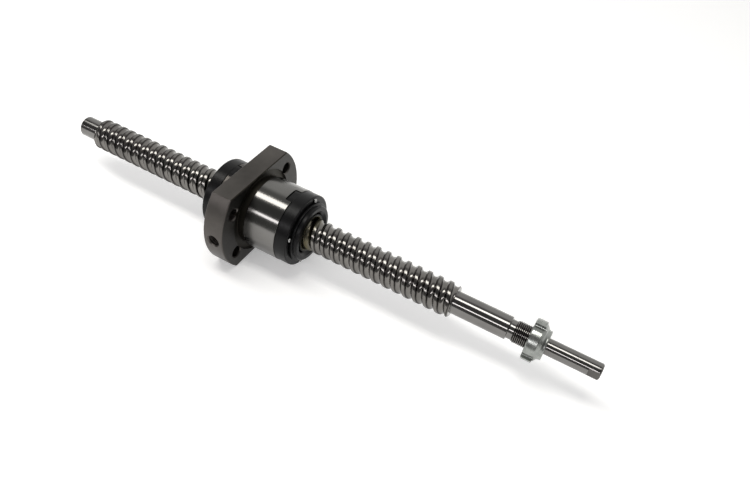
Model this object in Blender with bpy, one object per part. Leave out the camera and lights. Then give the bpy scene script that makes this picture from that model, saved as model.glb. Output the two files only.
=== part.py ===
"""Ball screw assembly: 15 mm ground screw, two starts, 10 mm lead, flanged end-cap ball nut, slotted locknut.

The origin is on the screw's axis at the shoulder of the driven end. +X runs along the screw towards the
driven end and +Z is square to the flats of the nut's flange. All sizes are in metres.
"""

import math

import bmesh
import bpy
from mathutils import Matrix, Vector

MM = 0.001
GAP = 0.3 * MM            # clearance kept between neighbouring pieces
TURN = 2 * math.pi

# Thread of the screw
SCREW_R = 7.5 * MM        # outside radius of the lands
LEAD = 10.0 * MM          # advance in one turn
STARTS = 2
PITCH = LEAD / STARTS     # distance between neighbouring grooves
BALL_CENTRE_R = 7.875 * MM
GROOVE_R = 1.6 * MM       # radius of the groove's arc, a little over that of the 3.175 mm balls
THREAD_SHIFT = 1.92 * MM  # where the first groove's centre crosses the +Y side
THREAD_LEFT = -194.5 * MM
THREAD_RIGHT = 0.0
THREAD_CHAMFER = 0.8 * MM
SCREW_STEPS_PER_TURN = 10
GROOVE_STEPS = (-1.0, -0.55, 0.0, 0.55)  # places across half a groove's width
LAND_STEPS = (0.0, 0.5)

# Machined ends of the screw
LEFT_END = -206.0 * MM
JOURNAL_R = 5.0 * MM
JOURNAL_RIGHT = 24.65 * MM
RELIEF_R = 4.15 * MM
RELIEF_RIGHT = 27.05 * MM
FINE_THREAD_R = 4.85 * MM
FINE_THREAD_RIGHT = 39.9 * MM
DRIVE_R = 3.5 * MM
DRIVE_RIGHT = 63.2 * MM
DRIVE_FLAT_LENGTH = 4.8 * MM
DRIVE_FLAT_DEPTH = 0.6 * MM
DRIVE_FLAT_ANGLE = math.radians(178)
END_CHAMFER = 0.8 * MM
SMALL_CHAMFER = 0.5 * MM
STOCK_OVERLAP = 3.0 * MM  # the ends reach this far into the threaded bar
SHAFT_SIDES = 28

# Ball nut
FLANGE_LEFT = -108.0 * MM
FLANGE_RIGHT = -98.0 * MM
FLANGE_R = 28.5 * MM
FLANGE_FLAT = 20.0 * MM   # from the axis to each flat
NUT_R = 17.0 * MM
NUT_LEFT = -112.5 * MM
NUT_RIGHT = -79.5 * MM
NECK_R = 16.4 * MM        # turned relief between the flange and the ground body
NECK_RIGHT = -95.5 * MM
RECESS_R = 19.6 * MM
RECESS_DEPTH = 1.2 * MM
EDGE = 0.5 * MM           # small chamfer on outer edges
NUT_SIDES = 48
BORE_LAND_R = 7.95 * MM
BORE_GROOVE_R = 1.8 * MM
BORE_STEPS_PER_TURN = 16
BOLT_CIRCLE_R = 22.5 * MM
BOLT_HOLE_R = 2.75 * MM
BOLT_ANGLES = [math.radians(a) for a in (30, 150, 210, 330)]
BOLT_HOLE_SIDES = 16
PORT_R = 2.9 * MM         # M6 lubrication port in the rim
PORT_DEPTH = 8.0 * MM
PORT_FEED_R = 1.25 * MM
PORT_X = -102.8 * MM
PORT_SIDES = 12
FEED_SIDES = 8
RETURN_HOLE_R = 1.8 * MM
RETURN_CENTRE_R = 12.9 * MM
RETURN_ANGLE = math.radians(130)
RETURN_SIDES = 10
PAST = 2.0 * MM           # how far cutters stand past the faces that they cut

# End caps, seals and their screws
CAP_R = 16.8 * MM
CAP_SIDES = 40
CAP_LENGTH = 6.1 * MM
CAP_BORE_R = 8.6 * MM
CAP_SEAT_R = 12.2 * MM
CAP_SEAT_DEPTH = 3.4 * MM
TAB_WIDTH = 7.5 * MM
TAB_LENGTH = 2.7 * MM
TAB_ROOT = 1.0 * MM       # how far the tab reaches into the cap
TAB_ANGLE = math.radians(2.5)  # the tabs stand this far round from the flats' middle
TAB_DEPTH = 3.2 * MM      # radial depth of the tab and of its notch
SEAL_INNER_R = 7.85 * MM
SEAL_OUTER_R = 11.9 * MM
SEAL_LENGTH = 2.4 * MM
SEAL_HUB_R = 9.2 * MM     # front part of the seal, inside the retaining ring
SEAL_CHAMFER = 0.4 * MM
SEAL_SIDES = 36
RING_OUTER_R = 14.1 * MM
RING_STEP_R = 13.0 * MM
RING_OPENING_R = 9.6 * MM
RING_SPIGOT = 0.4 * MM    # part of the ring that centres it in the cap's seat
RING_FLANGE = 1.0 * MM    # thickness of the ring's wider part
RING_STEP = 0.2 * MM
RING_LENGTH = 2.9 * MM
RING_MOUTH = 1.4 * MM     # radial width and depth of the conical mouth
RING_BEVEL = (0.7 * MM, 0.9 * MM)  # length and depth of the bevel at the front
RING_SIDES = 36
CAP_SCREW_CIRCLE_R = 15.1 * MM
CAP_SCREW_ANGLES = [math.radians(a) for a in (67.5, 157.5, 247.5, 337.5)]
CAP_SCREW_HEAD_R = 0.9 * MM
CAP_SCREW_HEAD = 0.6 * MM
CAP_SCREW_SHANK_R = 0.6 * MM
CAP_SCREW_LENGTH = 10.0 * MM
CAP_SCREW_CROWN = 0.6     # share of the head's height and radius where its bevel starts
CAP_SCREW_SIDES = 10
SCREW_HOLE_SIDES = 8

# Balls
BALL_R = 1.22 * MM        # bead of the coarse string; the real ball measures 1.5875 mm
BALL_SPACING = 3.24 * MM
BALL_NECK_R = 0.55 * MM
BALL_SIDES = 6
NEAR_AXIAL = 0.9          # a string that runs this nearly along X takes Z as its side
LOADED_TURNS = 2.8
LOADED_CENTRE = -96.0 * MM

# Locknut on the fine thread
LOCKNUT_LEFT = 33.1 * MM
LOCKNUT_RIM_RIGHT = 37.7 * MM
LOCKNUT_RIGHT = 40.6 * MM
LOCKNUT_R = 9.0 * MM
LOCKNUT_COLLAR = ((0.0, 8.2), (0.6, 7.65), (1.3, 6.65), (2.1, 6.3))  # mm past the rim, radius in mm
LOCKNUT_BORE_R = 5.15 * MM
LOCKNUT_SLOTS = 4
LOCKNUT_TURN = math.radians(51)
LOCKNUT_SLOT_WIDTH = 3.6 * MM
LOCKNUT_SLOT_DEPTH = 1.7 * MM
LOCKNUT_LEFT_CHAMFER = 0.5 * MM
LOCKNUT_RIGHT_CHAMFER = 1.0 * MM
LOCKNUT_SIDES = 32
INSERT_OUTER_R = 6.9 * MM
INSERT_LEFT = 36.2 * MM
INSERT_RIGHT = 38.0 * MM
INSERT_BORE_R = 5.2 * MM

STEEL_GROUND = ("ground_steel", (0.62, 0.61, 0.60), 0.22, 1.0)
STEEL_FLANGE = ("nut_steel", (0.36, 0.34, 0.32), 0.38, 1.0)
BLACK_PLASTIC = ("black_plastic", (0.03, 0.03, 0.032), 0.42, 0.0)
SEAL_PLASTIC = ("seal_plastic", (0.13, 0.11, 0.06), 0.5, 0.0)
SCREW_STEEL = ("cap_screw_steel", (0.70, 0.70, 0.69), 0.25, 1.0)
BALL_STEEL = ("ball_steel", (0.75, 0.75, 0.76), 0.08, 1.0)
ZINC = ("zinc_plate", (0.60, 0.63, 0.60), 0.34, 1.0)
NYLON = ("nylon", (0.75, 0.74, 0.68), 0.5, 0.0)


def clear_scene():
    for obj in list(bpy.data.objects):
        bpy.data.objects.remove(obj, do_unlink=True)


def material(spec):
    name, colour, roughness, metallic = spec
    mat = bpy.data.materials.get(name)
    if mat is None:
        mat = bpy.data.materials.new(name)
        mat.use_nodes = True
        shader = mat.node_tree.nodes["Principled BSDF"]
        shader.inputs["Base Color"].default_value = (*colour, 1.0)
        shader.inputs["Roughness"].default_value = roughness
        shader.inputs["Metallic"].default_value = metallic
    return mat


def finish_object(name, bm, spec):
    """Turn a bmesh into a named object with outward faces and smooth round sides."""
    bmesh.ops.recalc_face_normals(bm, faces=bm.faces)
    if bm.calc_volume(signed=True) < 0.0:
        bmesh.ops.reverse_faces(bm, faces=bm.faces)
    mesh = bpy.data.meshes.new(name)
    bm.to_mesh(mesh)
    bm.free()
    mesh.shade_smooth()
    mesh.set_sharp_from_angle(angle=math.radians(35))
    mesh.materials.append(material(spec))
    obj = bpy.data.objects.new(name, mesh)
    bpy.context.scene.collection.objects.link(obj)
    return obj


def as_cutter(obj):
    obj.hide_render = True
    obj.display_type = "WIRE"
    return obj


def combine(obj, other, operation):
    """Add an exact Boolean of obj with another object, which becomes a guide."""
    mod = obj.modifiers.new(operation.title(), "BOOLEAN")
    mod.operation = operation
    mod.solver = "EXACT"
    mod.object = as_cutter(other)


def ring_point(x, radius, angle):
    return Vector((x, radius * math.cos(angle), radius * math.sin(angle)))


def turned(name, profile, segments, spec, closed=False):
    """Revolve a profile of (x, radius) points about the X axis. A closed profile makes a ring."""
    bm = bmesh.new()
    verts = [bm.verts.new((x, r, 0.0)) for x, r in profile]
    pairs = list(zip(verts, verts[1:]))
    if closed:
        pairs.append((verts[-1], verts[0]))
    edges = [bm.edges.new(pair) for pair in pairs]
    bmesh.ops.spin(bm, geom=verts + edges, cent=(0, 0, 0), axis=(1, 0, 0), dvec=(0, 0, 0),
                   angle=TURN, steps=segments, use_merge=True, use_duplicate=False)
    bmesh.ops.remove_doubles(bm, verts=bm.verts, dist=1e-6)
    return finish_object(name, bm, spec)


def rod(name, start, end, radius, segments, spec=STEEL_FLANGE):
    """A plain cylinder between two points."""
    axis = end - start
    bm = bmesh.new()
    bmesh.ops.create_cone(bm, cap_ends=True, segments=segments, radius1=radius, radius2=radius,
                          depth=axis.length)
    turn = axis.to_track_quat("Z", "Y").to_matrix().to_4x4()
    bm.transform(Matrix.Translation((start + end) / 2) @ turn)
    return finish_object(name, bm, spec)


def block(name, low, high, spec=STEEL_FLANGE, turn=0.0):
    """A box from its low to its high corner, turned about the X axis."""
    bm = bmesh.new()
    bmesh.ops.create_cube(bm, size=1.0)
    low, high = Vector(low), Vector(high)
    scale = Matrix.Diagonal((*(high - low), 1.0))
    place = Matrix.Translation((low + high) / 2)
    bm.transform(Matrix.Rotation(turn, 4, "X") @ place @ scale)
    return finish_object(name, bm, spec)


def loft(name, rings, spec):
    """Join rings with equal numbers of points and close both ends. Twisted quads are split in a fixed way."""
    bm = bmesh.new()
    loops = [[bm.verts.new(p) for p in ring] for ring in rings]
    count = len(loops[0])
    for near, far in zip(loops, loops[1:]):
        for k in range(count):
            n = (k + 1) % count
            bm.faces.new((near[k], near[n], far[n], far[k]))
    bm.faces.new(reversed(loops[0]))
    bm.faces.new(loops[-1])
    bmesh.ops.triangulate(bm, faces=bm.faces, quad_method="SHORT_EDGE")
    return finish_object(name, bm, spec)


def groove_angles(arc_r, land_r):
    """Angles from a groove's centre, with radii, of one start's section: groove, then land.

    The groove is cut inwards where the land lies inside the balls' centres, outwards where it lies outside.
    """
    depth = BALL_CENTRE_R - land_r
    half = math.sqrt(arc_r ** 2 - depth ** 2)
    points = []
    for share in GROOVE_STEPS:
        u = share * half
        points.append((u, BALL_CENTRE_R + math.copysign(math.sqrt(arc_r ** 2 - u ** 2), -depth)))
    for share in LAND_STEPS:
        points.append((half + share * (PITCH - 2 * half), land_r))
    return [(TURN * u / LEAD, r) for u, r in points]


def groove_angle(x):
    """Angle of the first start's groove centre at a place along the axis. The thread is right-handed."""
    return TURN * (x - THREAD_SHIFT) / LEAD


def thread_rings(left, right, arc_r, land_r, steps_per_turn, chamfer=0.0):
    """Cross-sections of a helical thread. The section turns by one full turn in each lead."""
    section = groove_angles(arc_r, land_r)
    step = LEAD / steps_per_turn
    count = round((right - left) / step)
    xs = [left + (right - left) * i / count for i in range(count + 1)]
    if chamfer:
        xs = sorted(xs + [left + chamfer, right - chamfer])
    rings = []
    for x in xs:
        limit = land_r - chamfer + min(x - left, right - x) if chamfer else math.inf
        phase = groove_angle(x)
        ring = []
        for start in range(STARTS):
            for angle, radius in reversed(section):
                place = phase + start * TURN / STARTS - angle
                ring.append(ring_point(x, min(radius, limit), place))
        rings.append(ring)
    return rings


def screw_shaft():
    rings = thread_rings(THREAD_LEFT, THREAD_RIGHT, GROOVE_R, SCREW_R, SCREW_STEPS_PER_TURN,
                         chamfer=THREAD_CHAMFER)
    screw = loft("screw_shaft", rings, STEEL_GROUND)
    left = turned("left_journal_stock", [
        (LEFT_END, 0.0),
        (LEFT_END, JOURNAL_R - END_CHAMFER),
        (LEFT_END + END_CHAMFER, JOURNAL_R),
        (THREAD_LEFT + STOCK_OVERLAP, JOURNAL_R),
        (THREAD_LEFT + STOCK_OVERLAP, 0.0),
    ], SHAFT_SIDES, STEEL_GROUND)
    small = SMALL_CHAMFER
    right = turned("driven_end_stock", [
        (THREAD_RIGHT - STOCK_OVERLAP, 0.0),
        (THREAD_RIGHT - STOCK_OVERLAP, JOURNAL_R),
        (JOURNAL_RIGHT - small, JOURNAL_R),
        (JOURNAL_RIGHT, JOURNAL_R - small),
        (JOURNAL_RIGHT, RELIEF_R),
        (RELIEF_RIGHT, RELIEF_R),
        (RELIEF_RIGHT, FINE_THREAD_R - small),
        (RELIEF_RIGHT + small, FINE_THREAD_R),
        (FINE_THREAD_RIGHT - small, FINE_THREAD_R),
        (FINE_THREAD_RIGHT, FINE_THREAD_R - small),
        (FINE_THREAD_RIGHT, DRIVE_R),
        (DRIVE_RIGHT - small, DRIVE_R),
        (DRIVE_RIGHT, DRIVE_R - small),
        (DRIVE_RIGHT, 0.0),
    ], SHAFT_SIDES, STEEL_GROUND)
    flat = block("drive_flat_cutter",
                 (DRIVE_RIGHT - DRIVE_FLAT_LENGTH, DRIVE_R - DRIVE_FLAT_DEPTH, -2 * DRIVE_R),
                 (DRIVE_RIGHT + MM, 2 * DRIVE_R, 2 * DRIVE_R), turn=DRIVE_FLAT_ANGLE)
    combine(screw, left, "UNION")
    combine(screw, right, "UNION")
    combine(screw, flat, "DIFFERENCE")
    return screw


def nut_body():
    body = turned("nut_body", [
        (NUT_LEFT, 0.0),
        (NUT_LEFT, NUT_R),
        (FLANGE_LEFT, NUT_R),
        (FLANGE_LEFT, FLANGE_R - EDGE),
        (FLANGE_LEFT + EDGE, FLANGE_R),
        (FLANGE_RIGHT - EDGE, FLANGE_R),
        (FLANGE_RIGHT, FLANGE_R - EDGE),
        (FLANGE_RIGHT, RECESS_R),
        (FLANGE_RIGHT - RECESS_DEPTH, RECESS_R),
        (FLANGE_RIGHT - RECESS_DEPTH, NECK_R),
        (NECK_RIGHT - EDGE, NECK_R),
        (NECK_RIGHT, NUT_R),
        (NUT_RIGHT, NUT_R),
        (NUT_RIGHT, 0.0),
    ], NUT_SIDES, STEEL_FLANGE)
    flats = block("flange_flats", (NUT_LEFT - PAST, -2 * FLANGE_R, -FLANGE_FLAT),
                  (NUT_RIGHT + PAST, 2 * FLANGE_R, FLANGE_FLAT))
    combine(body, flats, "INTERSECT")
    bore = loft("nut_bore_cutter", thread_rings(
        NUT_LEFT - PAST, NUT_RIGHT + PAST, BORE_GROOVE_R, BORE_LAND_R, BORE_STEPS_PER_TURN),
        STEEL_FLANGE)
    combine(body, bore, "DIFFERENCE")
    for i, angle in enumerate(BOLT_ANGLES):
        hole = rod(f"bolt_hole_cutter_{i + 1}", ring_point(FLANGE_LEFT - MM, BOLT_CIRCLE_R, angle),
                   ring_point(FLANGE_RIGHT + MM, BOLT_CIRCLE_R, angle), BOLT_HOLE_R, BOLT_HOLE_SIDES)
        combine(body, hole, "DIFFERENCE")
    front = math.pi
    port = rod("port_cutter", ring_point(PORT_X, FLANGE_R - PORT_DEPTH, front),
               ring_point(PORT_X, FLANGE_R + MM, front), PORT_R, PORT_SIDES)
    feed = rod("port_feed_cutter", ring_point(PORT_X, BALL_CENTRE_R, front),
               ring_point(PORT_X, FLANGE_R - PORT_DEPTH + MM, front), PORT_FEED_R, FEED_SIDES)
    combine(body, port, "DIFFERENCE")
    combine(body, feed, "DIFFERENCE")
    for start in range(STARTS):
        turn = start * TURN / STARTS
        hole = rod(f"return_hole_cutter_{start + 1}",
                   ring_point(NUT_LEFT - MM, RETURN_CENTRE_R, RETURN_ANGLE + turn),
                   ring_point(NUT_RIGHT + MM, RETURN_CENTRE_R, RETURN_ANGLE + turn), RETURN_HOLE_R,
                   RETURN_SIDES)
        combine(body, hole, "DIFFERENCE")
        for side, face, inward in (("left", NUT_LEFT, 1), ("right", NUT_RIGHT, -1)):
            ends = sorted((face - inward * MM, face + inward * (TAB_LENGTH + GAP)))
            half = TAB_WIDTH / 2 + GAP
            notch = block(f"{side}_notch_cutter_{start + 1}", (ends[0], -half, NUT_R - TAB_DEPTH - GAP),
                          (ends[1], half, 2 * NUT_R), turn=turn + inward * TAB_ANGLE)
            combine(body, notch, "DIFFERENCE")
    for side, face, inward in (("left", NUT_LEFT, 1), ("right", NUT_RIGHT, -1)):
        for i, angle in enumerate(CAP_SCREW_ANGLES):
            hole = rod(f"{side}_screw_hole_cutter_{i + 1}",
                       ring_point(face - inward * MM, CAP_SCREW_CIRCLE_R, angle),
                       ring_point(face + inward * (CAP_SCREW_LENGTH - CAP_LENGTH + MM),
                                  CAP_SCREW_CIRCLE_R, angle),
                       CAP_SCREW_SHANK_R + GAP, SCREW_HOLE_SIDES)
            combine(body, hole, "DIFFERENCE")
    return body


class CapEnd:
    """Turns distances measured outwards from one end face of the nut's steel body into X positions."""

    def __init__(self, side):
        self.side = side
        self.face = NUT_RIGHT if side == "right" else NUT_LEFT
        self.out = 1 if side == "right" else -1

    def x(self, distance):
        return self.face + self.out * distance

    def profile(self, points):
        return [(self.x(d), r) for d, r in points]

    def name(self, piece):
        return f"{self.side}_{piece}"


def end_cap(end):
    seat = CAP_LENGTH - CAP_SEAT_DEPTH
    cap = turned(end.name("end_cap"), end.profile([
        (GAP, CAP_BORE_R),
        (GAP, CAP_R),
        (CAP_LENGTH - EDGE, CAP_R),
        (CAP_LENGTH, CAP_R - EDGE),
        (CAP_LENGTH, CAP_SEAT_R),
        (seat, CAP_SEAT_R),
        (seat, CAP_BORE_R),
    ]), CAP_SIDES, BLACK_PLASTIC, closed=True)
    for start in range(STARTS):
        turn = start * TURN / STARTS
        ends = sorted((end.x(-TAB_LENGTH), end.x(TAB_ROOT)))
        tab = block(end.name(f"tab_{start + 1}"), (ends[0], -TAB_WIDTH / 2, NUT_R - TAB_DEPTH),
                    (ends[1], TAB_WIDTH / 2, CAP_R - GAP / 2), BLACK_PLASTIC,
                    turn - end.out * TAB_ANGLE)
        combine(cap, tab, "UNION")
        channel = rod(end.name(f"return_channel_cutter_{start + 1}"),
                      ring_point(end.x(GAP), BALL_CENTRE_R, RETURN_ANGLE + turn),
                      ring_point(end.x(GAP), RETURN_CENTRE_R, RETURN_ANGLE + turn), RETURN_HOLE_R,
                      RETURN_SIDES)
        combine(cap, channel, "DIFFERENCE")
    for i, angle in enumerate(CAP_SCREW_ANGLES):
        hole = rod(end.name(f"cap_hole_cutter_{i + 1}"),
                   ring_point(end.x(-MM), CAP_SCREW_CIRCLE_R, angle),
                   ring_point(end.x(CAP_LENGTH + MM), CAP_SCREW_CIRCLE_R, angle),
                   CAP_SCREW_SHANK_R + GAP, SCREW_HOLE_SIDES)
        combine(cap, hole, "DIFFERENCE")
    return cap


def seal(end):
    """Floating ring between the cap's seat and the retaining ring, with a hub that hugs the screw."""
    start = CAP_LENGTH - CAP_SEAT_DEPTH + GAP
    shoulder = start + SEAL_LENGTH
    front = CAP_LENGTH if end.side == "left" else CAP_LENGTH + RING_LENGTH - GAP
    return turned(end.name("seal_ring"), end.profile([
        (start, SEAL_INNER_R),
        (start, SEAL_OUTER_R),
        (shoulder, SEAL_OUTER_R),
        (shoulder, SEAL_HUB_R),
        (front - SEAL_CHAMFER, SEAL_HUB_R),
        (front, SEAL_HUB_R - SEAL_CHAMFER),
        (front, SEAL_INNER_R + SEAL_CHAMFER),
        (front - SEAL_CHAMFER, SEAL_INNER_R),
    ]), SEAL_SIDES, SEAL_PLASTIC, closed=True)


def retaining_ring(end):
    """Stepped ring on the front of the right cap; on the left cap it lies flush inside the seat."""
    spigot_r = CAP_SEAT_R - GAP
    spigot = CAP_LENGTH - RING_SPIGOT
    if end.side == "left":
        points = [
            (spigot, RING_OPENING_R),
            (spigot, spigot_r),
            (CAP_LENGTH + RING_STEP, spigot_r),
            (CAP_LENGTH + RING_STEP, RING_OPENING_R),
        ]
    else:
        base = CAP_LENGTH + GAP
        front = base + RING_LENGTH
        bevel_length, bevel_depth = RING_BEVEL
        points = [
            (spigot, RING_OPENING_R),
            (spigot, spigot_r),
            (base, spigot_r),
            (base, RING_OUTER_R),
            (base + RING_FLANGE, RING_OUTER_R),
            (base + RING_FLANGE + RING_STEP, RING_STEP_R),
            (front - bevel_length, RING_STEP_R),
            (front, RING_STEP_R - bevel_depth),
            (front, RING_OPENING_R + RING_MOUTH),
            (front - RING_MOUTH, RING_OPENING_R),
        ]
    return turned(end.name("retaining_ring"), end.profile(points), RING_SIDES, BLACK_PLASTIC, closed=True)


def cap_screw(end, index, angle):
    """Small pan-head screw that holds the cap to the steel body."""
    head = CAP_LENGTH + GAP
    screw = turned(end.name(f"cap_screw_{index}"), end.profile([
        (CAP_LENGTH - CAP_SCREW_LENGTH, 0.0),
        (CAP_LENGTH - CAP_SCREW_LENGTH, CAP_SCREW_SHANK_R),
        (head, CAP_SCREW_SHANK_R),
        (head, CAP_SCREW_HEAD_R),
        (head + CAP_SCREW_HEAD * CAP_SCREW_CROWN, CAP_SCREW_HEAD_R),
        (head + CAP_SCREW_HEAD, CAP_SCREW_HEAD_R * CAP_SCREW_CROWN),
        (head + CAP_SCREW_HEAD, 0.0),
    ]), CAP_SCREW_SIDES, SCREW_STEEL)
    screw.location = ring_point(0.0, CAP_SCREW_CIRCLE_R, angle)
    return screw


def bead_string(name, path, radii):
    """A string of balls joined at small necks: a tube along a path with a radius for each point."""
    rings = []
    side = Vector((1.0, 0.0, 0.0))
    for i, centre in enumerate(path):
        before, after = path[max(i - 1, 0)], path[min(i + 1, len(path) - 1)]
        along = (after - before).normalized()
        if abs(along.x) > NEAR_AXIAL:
            side = Vector((0.0, 0.0, 1.0))
        across = along.cross(side).normalized()
        up = across.cross(along)
        rings.append([
            centre + radii[i] * (math.cos(TURN * k / BALL_SIDES) * across
                                 + math.sin(TURN * k / BALL_SIDES) * up)
            for k in range(BALL_SIDES)
        ])
    return loft(name, rings, BALL_STEEL)


def bead_radii(count):
    """Neck and middle of each of count balls in turn."""
    return [BALL_NECK_R if i % 2 == 0 else BALL_R for i in range(2 * count + 1)]


def loaded_balls(start):
    """The balls that run in one start's grooves between the screw and the nut."""
    turn_length = math.hypot(TURN * BALL_CENTRE_R, LEAD)
    count = int(LOADED_TURNS * turn_length / BALL_SPACING)
    step = BALL_SPACING / turn_length / 2
    path = []
    for i in range(2 * count + 1):
        x = LOADED_CENTRE + (i - count) * step * LEAD
        path.append(ring_point(x, BALL_CENTRE_R, groove_angle(x) + start * TURN / STARTS))
    return bead_string(f"loaded_balls_{start + 1}", path, bead_radii(count))


def return_balls(start):
    """The balls on their way back through the straight hole in the nut's wall."""
    length = NUT_RIGHT - NUT_LEFT - 2 * GAP
    count = int(length / BALL_SPACING)
    middle = (NUT_RIGHT + NUT_LEFT) / 2
    angle = RETURN_ANGLE + start * TURN / STARTS
    path = [ring_point(middle + (i - count) * BALL_SPACING / 2, RETURN_CENTRE_R, angle)
            for i in range(2 * count + 1)]
    return bead_string(f"return_balls_{start + 1}", path, bead_radii(count))


def locknut():
    left_edge, right_edge = LOCKNUT_LEFT_CHAMFER, LOCKNUT_RIGHT_CHAMFER
    collar = [(LOCKNUT_RIM_RIGHT + past * MM, radius * MM) for past, radius in LOCKNUT_COLLAR]
    nut = turned("locknut", [
        (LOCKNUT_LEFT, LOCKNUT_BORE_R),
        (LOCKNUT_LEFT, LOCKNUT_R - left_edge),
        (LOCKNUT_LEFT + left_edge, LOCKNUT_R),
        (LOCKNUT_RIM_RIGHT - right_edge, LOCKNUT_R),
        (LOCKNUT_RIM_RIGHT, LOCKNUT_R - right_edge / 2),
        *collar,
        (LOCKNUT_RIGHT, collar[-1][1]),
        (LOCKNUT_RIGHT, LOCKNUT_BORE_R),
        (INSERT_RIGHT + GAP, LOCKNUT_BORE_R),
        (INSERT_RIGHT + GAP, INSERT_OUTER_R + GAP),
        (INSERT_LEFT - GAP, INSERT_OUTER_R + GAP),
        (INSERT_LEFT - GAP, LOCKNUT_BORE_R),
    ], LOCKNUT_SIDES, ZINC, closed=True)
    for i in range(LOCKNUT_SLOTS):
        turn = (i + 0.5) * TURN / LOCKNUT_SLOTS + LOCKNUT_TURN
        slot = block(f"locknut_slot_cutter_{i + 1}",
                     (LOCKNUT_LEFT - MM, -LOCKNUT_SLOT_WIDTH / 2, LOCKNUT_R - LOCKNUT_SLOT_DEPTH),
                     (LOCKNUT_RIM_RIGHT + MM, LOCKNUT_SLOT_WIDTH / 2, 2 * LOCKNUT_R), turn=turn)
        combine(nut, slot, "DIFFERENCE")
    return nut


def locknut_insert():
    """Nylon ring that brakes the locknut on its thread."""
    return turned("locknut_nylon_ring", [
        (INSERT_LEFT, INSERT_BORE_R),
        (INSERT_LEFT, INSERT_OUTER_R),
        (INSERT_RIGHT, INSERT_OUTER_R),
        (INSERT_RIGHT, INSERT_BORE_R),
    ], LOCKNUT_SIDES, NYLON, closed=True)


def build():
    clear_scene()
    screw_shaft()
    nut_body()
    for side in ("left", "right"):
        end = CapEnd(side)
        end_cap(end)
        seal(end)
        retaining_ring(end)
        for i, angle in enumerate(CAP_SCREW_ANGLES):
            cap_screw(end, i + 1, angle)
    for start in range(STARTS):
        loaded_balls(start)
        return_balls(start)
    locknut()
    locknut_insert()


build()
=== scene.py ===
"""Looks of the ball screw assembly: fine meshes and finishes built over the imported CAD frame.

The frame's origin is on the screw's axis at the shoulder of the driven end, +X towards the driven end.
"""

import math

import bmesh
import bpy
from mathutils import Matrix, Quaternion, Vector


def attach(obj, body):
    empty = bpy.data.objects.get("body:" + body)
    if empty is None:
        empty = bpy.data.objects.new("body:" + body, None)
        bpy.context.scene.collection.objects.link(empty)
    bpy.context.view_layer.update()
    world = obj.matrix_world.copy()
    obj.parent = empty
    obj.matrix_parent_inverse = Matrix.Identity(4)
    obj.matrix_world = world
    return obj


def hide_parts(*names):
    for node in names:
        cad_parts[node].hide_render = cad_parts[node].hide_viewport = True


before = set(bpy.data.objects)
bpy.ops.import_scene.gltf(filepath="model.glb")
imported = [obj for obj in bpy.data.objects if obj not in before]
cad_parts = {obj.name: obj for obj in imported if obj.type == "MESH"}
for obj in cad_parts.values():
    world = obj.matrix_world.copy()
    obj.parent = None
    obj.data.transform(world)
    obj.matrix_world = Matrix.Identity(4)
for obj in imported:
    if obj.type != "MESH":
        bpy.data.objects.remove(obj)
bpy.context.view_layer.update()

MM = 0.001
TURN = 2 * math.pi
SHARP = math.radians(26)      # edges steeper than this are drawn sharp

# Thread of the screw
SCREW_R = 7.5 * MM
LEAD = 10.0 * MM
STARTS = 2
PITCH = LEAD / STARTS
THREAD_SHIFT = 1.92 * MM      # where the first groove's centre crosses the +Y side
BALL_CENTRE_R = 7.875 * MM
BALL_R = 1.5875 * MM
GROOVE_R = 1.6 * MM
THREAD_LEFT = -194.5 * MM
THREAD_RIGHT = 0.0
THREAD_CHAMFER = 0.8 * MM
GROOVE_EDGE = 0.42 * MM       # rounding where a groove meets a land
GROOVE_EDGE_DROP = 0.35       # depth of that rounding as a share of its width
THREAD_STEPS = 40             # cross-sections in one turn
GROOVE_POINTS = 20            # points across one groove
LAND_POINTS = 15              # points across one land

# Machined ends
LEFT_END = -206.0 * MM
JOURNAL_R = 5.0 * MM
JOURNAL_RIGHT = 24.65 * MM
RELIEF_R = 4.15 * MM
RELIEF_RIGHT = 27.05 * MM
FINE_THREAD_R = 4.85 * MM
FINE_THREAD_RIGHT = 39.9 * MM
FINE_PITCH = 0.75 * MM
FINE_DEPTH = 0.42 * MM
FINE_STEPS = 20               # cross-sections in one pitch
FINE_CHAMFER = 0.5 * MM
FINE_FLANK = 2.6              # how fast the flanks rise from root to crest
DRIVE_MARK = 53.3 * MM        # shallow ring scribed around the drive stub
DRIVE_MARK_HALF = 0.06 * MM
DRIVE_MARK_DEPTH = 0.03 * MM
DRIVE_R = 3.5 * MM
DRIVE_RIGHT = 63.2 * MM
DRIVE_FLAT_LENGTH = 4.8 * MM
DRIVE_FLAT_DEPTH = 0.6 * MM
DRIVE_FLAT_ANGLE = math.radians(178)
END_CHAMFER = 0.8 * MM

# Ball nut
FLANGE_LEFT = -108.0 * MM
FLANGE_RIGHT = -98.0 * MM
FLANGE_R = 28.5 * MM
FLANGE_FLAT = 20.0 * MM
NUT_R = 17.0 * MM
NUT_LEFT = -112.5 * MM
NUT_RIGHT = -79.5 * MM
NECK_R = 16.4 * MM
NECK_RIGHT = -95.5 * MM
RECESS_R = 19.85 * MM
RECESS_DEPTH = 1.2 * MM
EDGE = 0.5 * MM
FLANGE_CHAMFER = 0.35 * MM
BOLT_LIP = 0.45 * MM          # chamfer at both ends of a bolt hole
NUT_SIDES = 160
BORE_LAND_R = 7.95 * MM
BORE_GROOVE_R = 1.8 * MM
BORE_GROOVE_POINTS = 8
BORE_LAND_POINTS = 5
BORE_STEPS = 24
BORE_LAST_SHARE = 0.98        # last point across a plain land
BOLT_CIRCLE_R = 22.5 * MM
BOLT_HOLE_R = 2.75 * MM
BOLT_ANGLES = [math.radians(a) for a in (30, 150, 210, 330)]
PORT_R = 2.6 * MM
PORT_THREAD = 0.25 * MM
PORT_MOUTH = 0.6 * MM         # countersink of the port
PORT_PITCH = 1.0 * MM
PORT_DEPTH = 8.0 * MM
PORT_FEED_R = 1.25 * MM
PORT_X = -102.8 * MM
RETURN_HOLE_R = 1.8 * MM
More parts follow.
